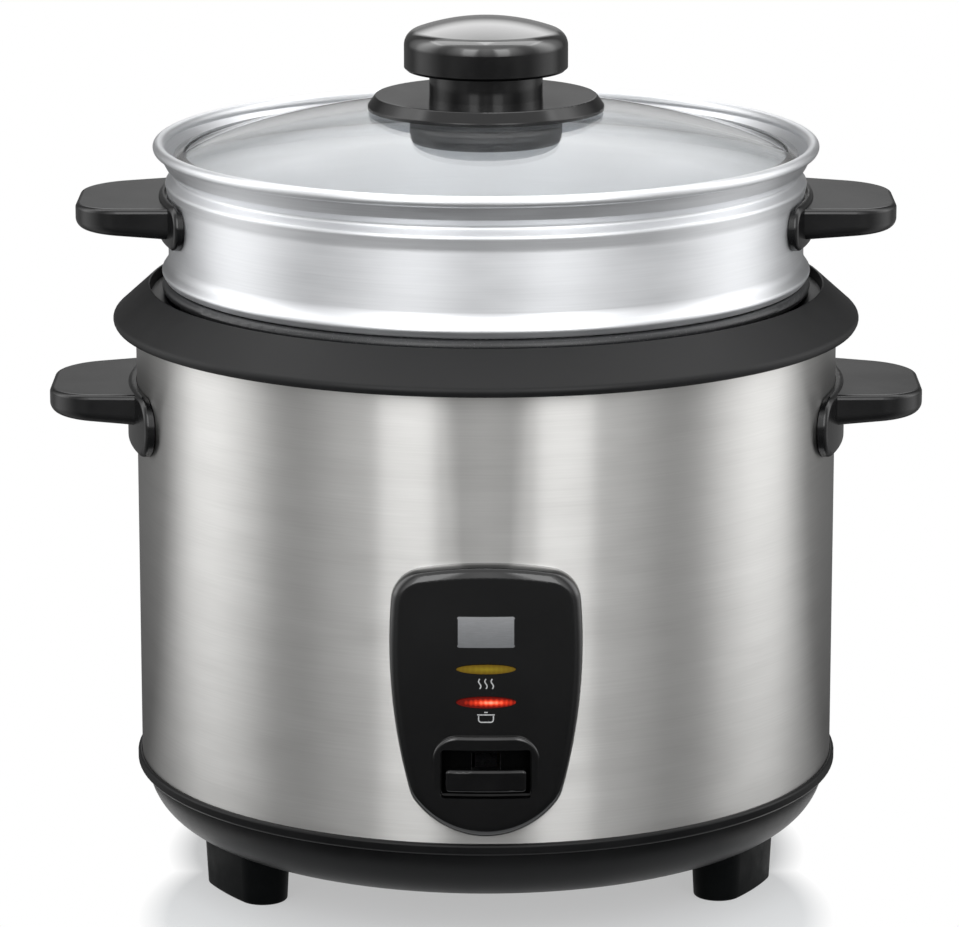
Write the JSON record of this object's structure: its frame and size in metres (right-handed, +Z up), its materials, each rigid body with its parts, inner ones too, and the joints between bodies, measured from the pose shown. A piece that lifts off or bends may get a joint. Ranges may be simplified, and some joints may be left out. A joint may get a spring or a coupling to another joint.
{
  "type": "rice cooker",
  "caption": "Drum rice cooker: brushed steel body, black ring, base, handles and lever panel, lift-out pot, aluminium steamer basket and domed glass lid with knob.",
  "frame": {"origin": "on the drum's axis, on the floor under the feet", "axes": "+Z up, the front panel faces -Y, the side handles point along X"},
  "size_m": [0.3234, 0.2766, 0.3183],
  "materials": {
    "shell_steel": "horizontally brushed",
    "basket_aluminium": "satin spun",
    "band_steel": "polished",
    "liner_steel": "drawn",
    "black_plastic": "fine satin",
    "gloss_black": "polished",
    "base_black": "satin",
    "key_black": "satin",
    "lid_clear": "clear",
    "amber_lens": "clear amber",
    "red_lens": "clear red, lit",
    "lamp_glass": "clear",
    "pot_coating": "non-stick",
    "cast_plate": "machined casting",
    "element_tube": "oxidised",
    "zinc_steel": "zinc plated",
    "ferrite_black": "sintered",
    "inner_plastic": "moulded",
    "inlet_black": "moulded",
    "contact_brass": "bright",
    "silicone": "translucent",
    "wire_cover": "braided"
  },
  "bodies": {
    "cooker": {"top_ring": "black_plastic", "outer_shell": "shell_steel", "inner_liner": "liner_steel", "body_handle_right": "black_plastic", "body_handle_left": "black_plastic", "body_handle_screws": "zinc_steel", "front_panel": "gloss_black", "panel_screws": "zinc_steel", "warm_lens": "amber_lens", "cook_lens": "red_lens", "warm_lamp": "lamp_glass", "cook_lamp": "lamp_glass", "lamp_holder": "inner_plastic", "base_cover": "base_black", "foot_front_right": "base_black", "foot_front_left": "base_black", "foot_rear": "base_black", "support_posts": "zinc_steel", "base_screws": "zinc_steel", "post_screws": "zinc_steel", "lever_bracket": "zinc_steel", "lever_pin": "zinc_steel", "bracket_screws": "zinc_steel", "micro_switch": "inner_plastic", "heating_plate": "cast_plate", "plate_screws": "zinc_steel", "heating_element": "element_tube", "thermostat_housing": "zinc_steel", "sensor_spring": "zinc_steel", "keep_warm_thermostat": "inner_plastic", "thermal_fuse": "wire_cover", "fuse_clip": "zinc_steel", "power_inlet": "inlet_black", "inlet_pins": "contact_brass", "inlet_screws": "zinc_steel", "live_wire": "wire_cover", "neutral_wire": "wire_cover", "heater_wires": "wire_cover"},
    "pot": {"inner_pot": "pot_coating"},
    "steamer": {"steamer_basket": "basket_aluminium", "steamer_floor": "basket_aluminium", "steamer_handle_right": "black_plastic", "steamer_handle_left": "black_plastic", "steamer_handle_screws": "zinc_steel"},
    "lid": {"lid_glass": "lid_clear", "vent_eyelet": "band_steel", "lid_rim_band": "band_steel", "knob_skirt": "gloss_black", "knob_gasket": "silicone", "knob_boss": "black_plastic", "knob_screw": "zinc_steel", "knob": "black_plastic"},
    "lever": {"lever_arm": "zinc_steel", "switch_key": "key_black"},
    "magnet_rod": {"magnet": "ferrite_black", "pull_rod": "zinc_steel"},
    "sensor": {"sensor_cup": "cast_plate", "ferrite": "ferrite_black", "release_spring": "zinc_steel"},
    "plunger": {"switch_plunger": "inner_plastic"}
  },
  "joints": [
    {"name": "pot_lift", "type": "slide", "parent": "cooker", "child": "pot", "axis": [0, 0, 1], "range_m": [0, 0.18]},
    {"name": "steamer_lift", "type": "slide", "parent": "pot", "child": "steamer", "axis": [0, 0, 1], "range_m": [0, 0.1]},
    {"name": "lid_lift", "type": "slide", "parent": "steamer", "child": "lid", "axis": [0, 0, 1], "range_m": [0, 0.08]},
    {"name": "lever_tilt", "type": "hinge", "parent": "cooker", "child": "lever", "pos_m": [0, -0.062, 0.0671], "axis": [-1, 0, 0], "range_deg": [0, 5.2]},
    {"name": "magnet_slide", "type": "slide", "parent": "cooker", "child": "magnet_rod", "axis": [0, 0, 1], "range_m": [-0.0057, 0], "deforming": ["release_spring"]},
    {"name": "sensor_rise", "type": "slide", "parent": "cooker", "child": "sensor", "axis": [0, 0, 1], "range_m": [0, 0.003], "deforming": ["sensor_spring"]},
    {"name": "plunger_travel", "type": "slide", "parent": "cooker", "child": "plunger", "axis": [0, 0, 1], "range_m": [0, 0.0017]}
  ],
  "couplings": [
    {"joint": "magnet_slide", "follows": "lever_tilt", "m_per_rad": -0.062},
    {"joint": "plunger_travel", "follows": "lever_tilt", "m_per_rad": 0.018},
    {"joint": "sensor_rise", "follows": "pot_lift", "ratio": 0.016666}
  ]
}
